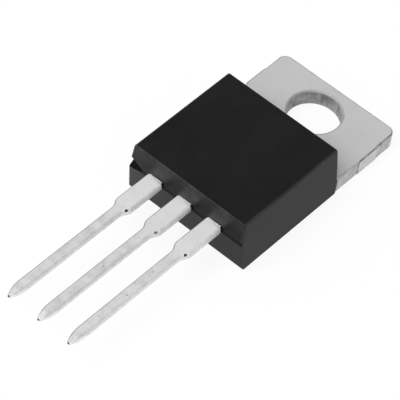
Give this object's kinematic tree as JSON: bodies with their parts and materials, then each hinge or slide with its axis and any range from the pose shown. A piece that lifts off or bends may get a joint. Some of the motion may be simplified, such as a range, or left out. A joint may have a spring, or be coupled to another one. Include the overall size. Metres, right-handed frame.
{
  "type": "triac",
  "caption": "Triac in a flat plastic power package with a drilled metal tab at one end and flat, pointed leads at the other.",
  "frame": {"origin": "centre of the tab's hole, on the tab's back face", "axes": "+Y along the package from the leads to the tab, +Z out of the tab's back through the hole towards the case's flat top, +X to the gate lead"},
  "size_m": [0.01, 0.0296, 0.0044],
  "materials": {
    "moulding_compound": "fine matte, as spark-eroded",
    "plated_copper": "matte tin plate on copper",
    "tinned_lead": "bright tin plate on copper",
    "silicon": "polished silicon with a glassed edge",
    "solder": "dull reflowed solder",
    "bond_wire": "drawn wire"
  },
  "bodies": {
    "root": {"moulded_case": "moulding_compound", "header_and_mt2_lead": "plated_copper", "mt1_lead": "tinned_lead", "gate_lead": "tinned_lead", "triac_die": "silicon", "die_attach_solder": "solder", "mt1_bond_wire_outer": "bond_wire", "mt1_bond_wire_inner": "bond_wire", "gate_bond_wire": "bond_wire"}
  },
  "joints": []
}
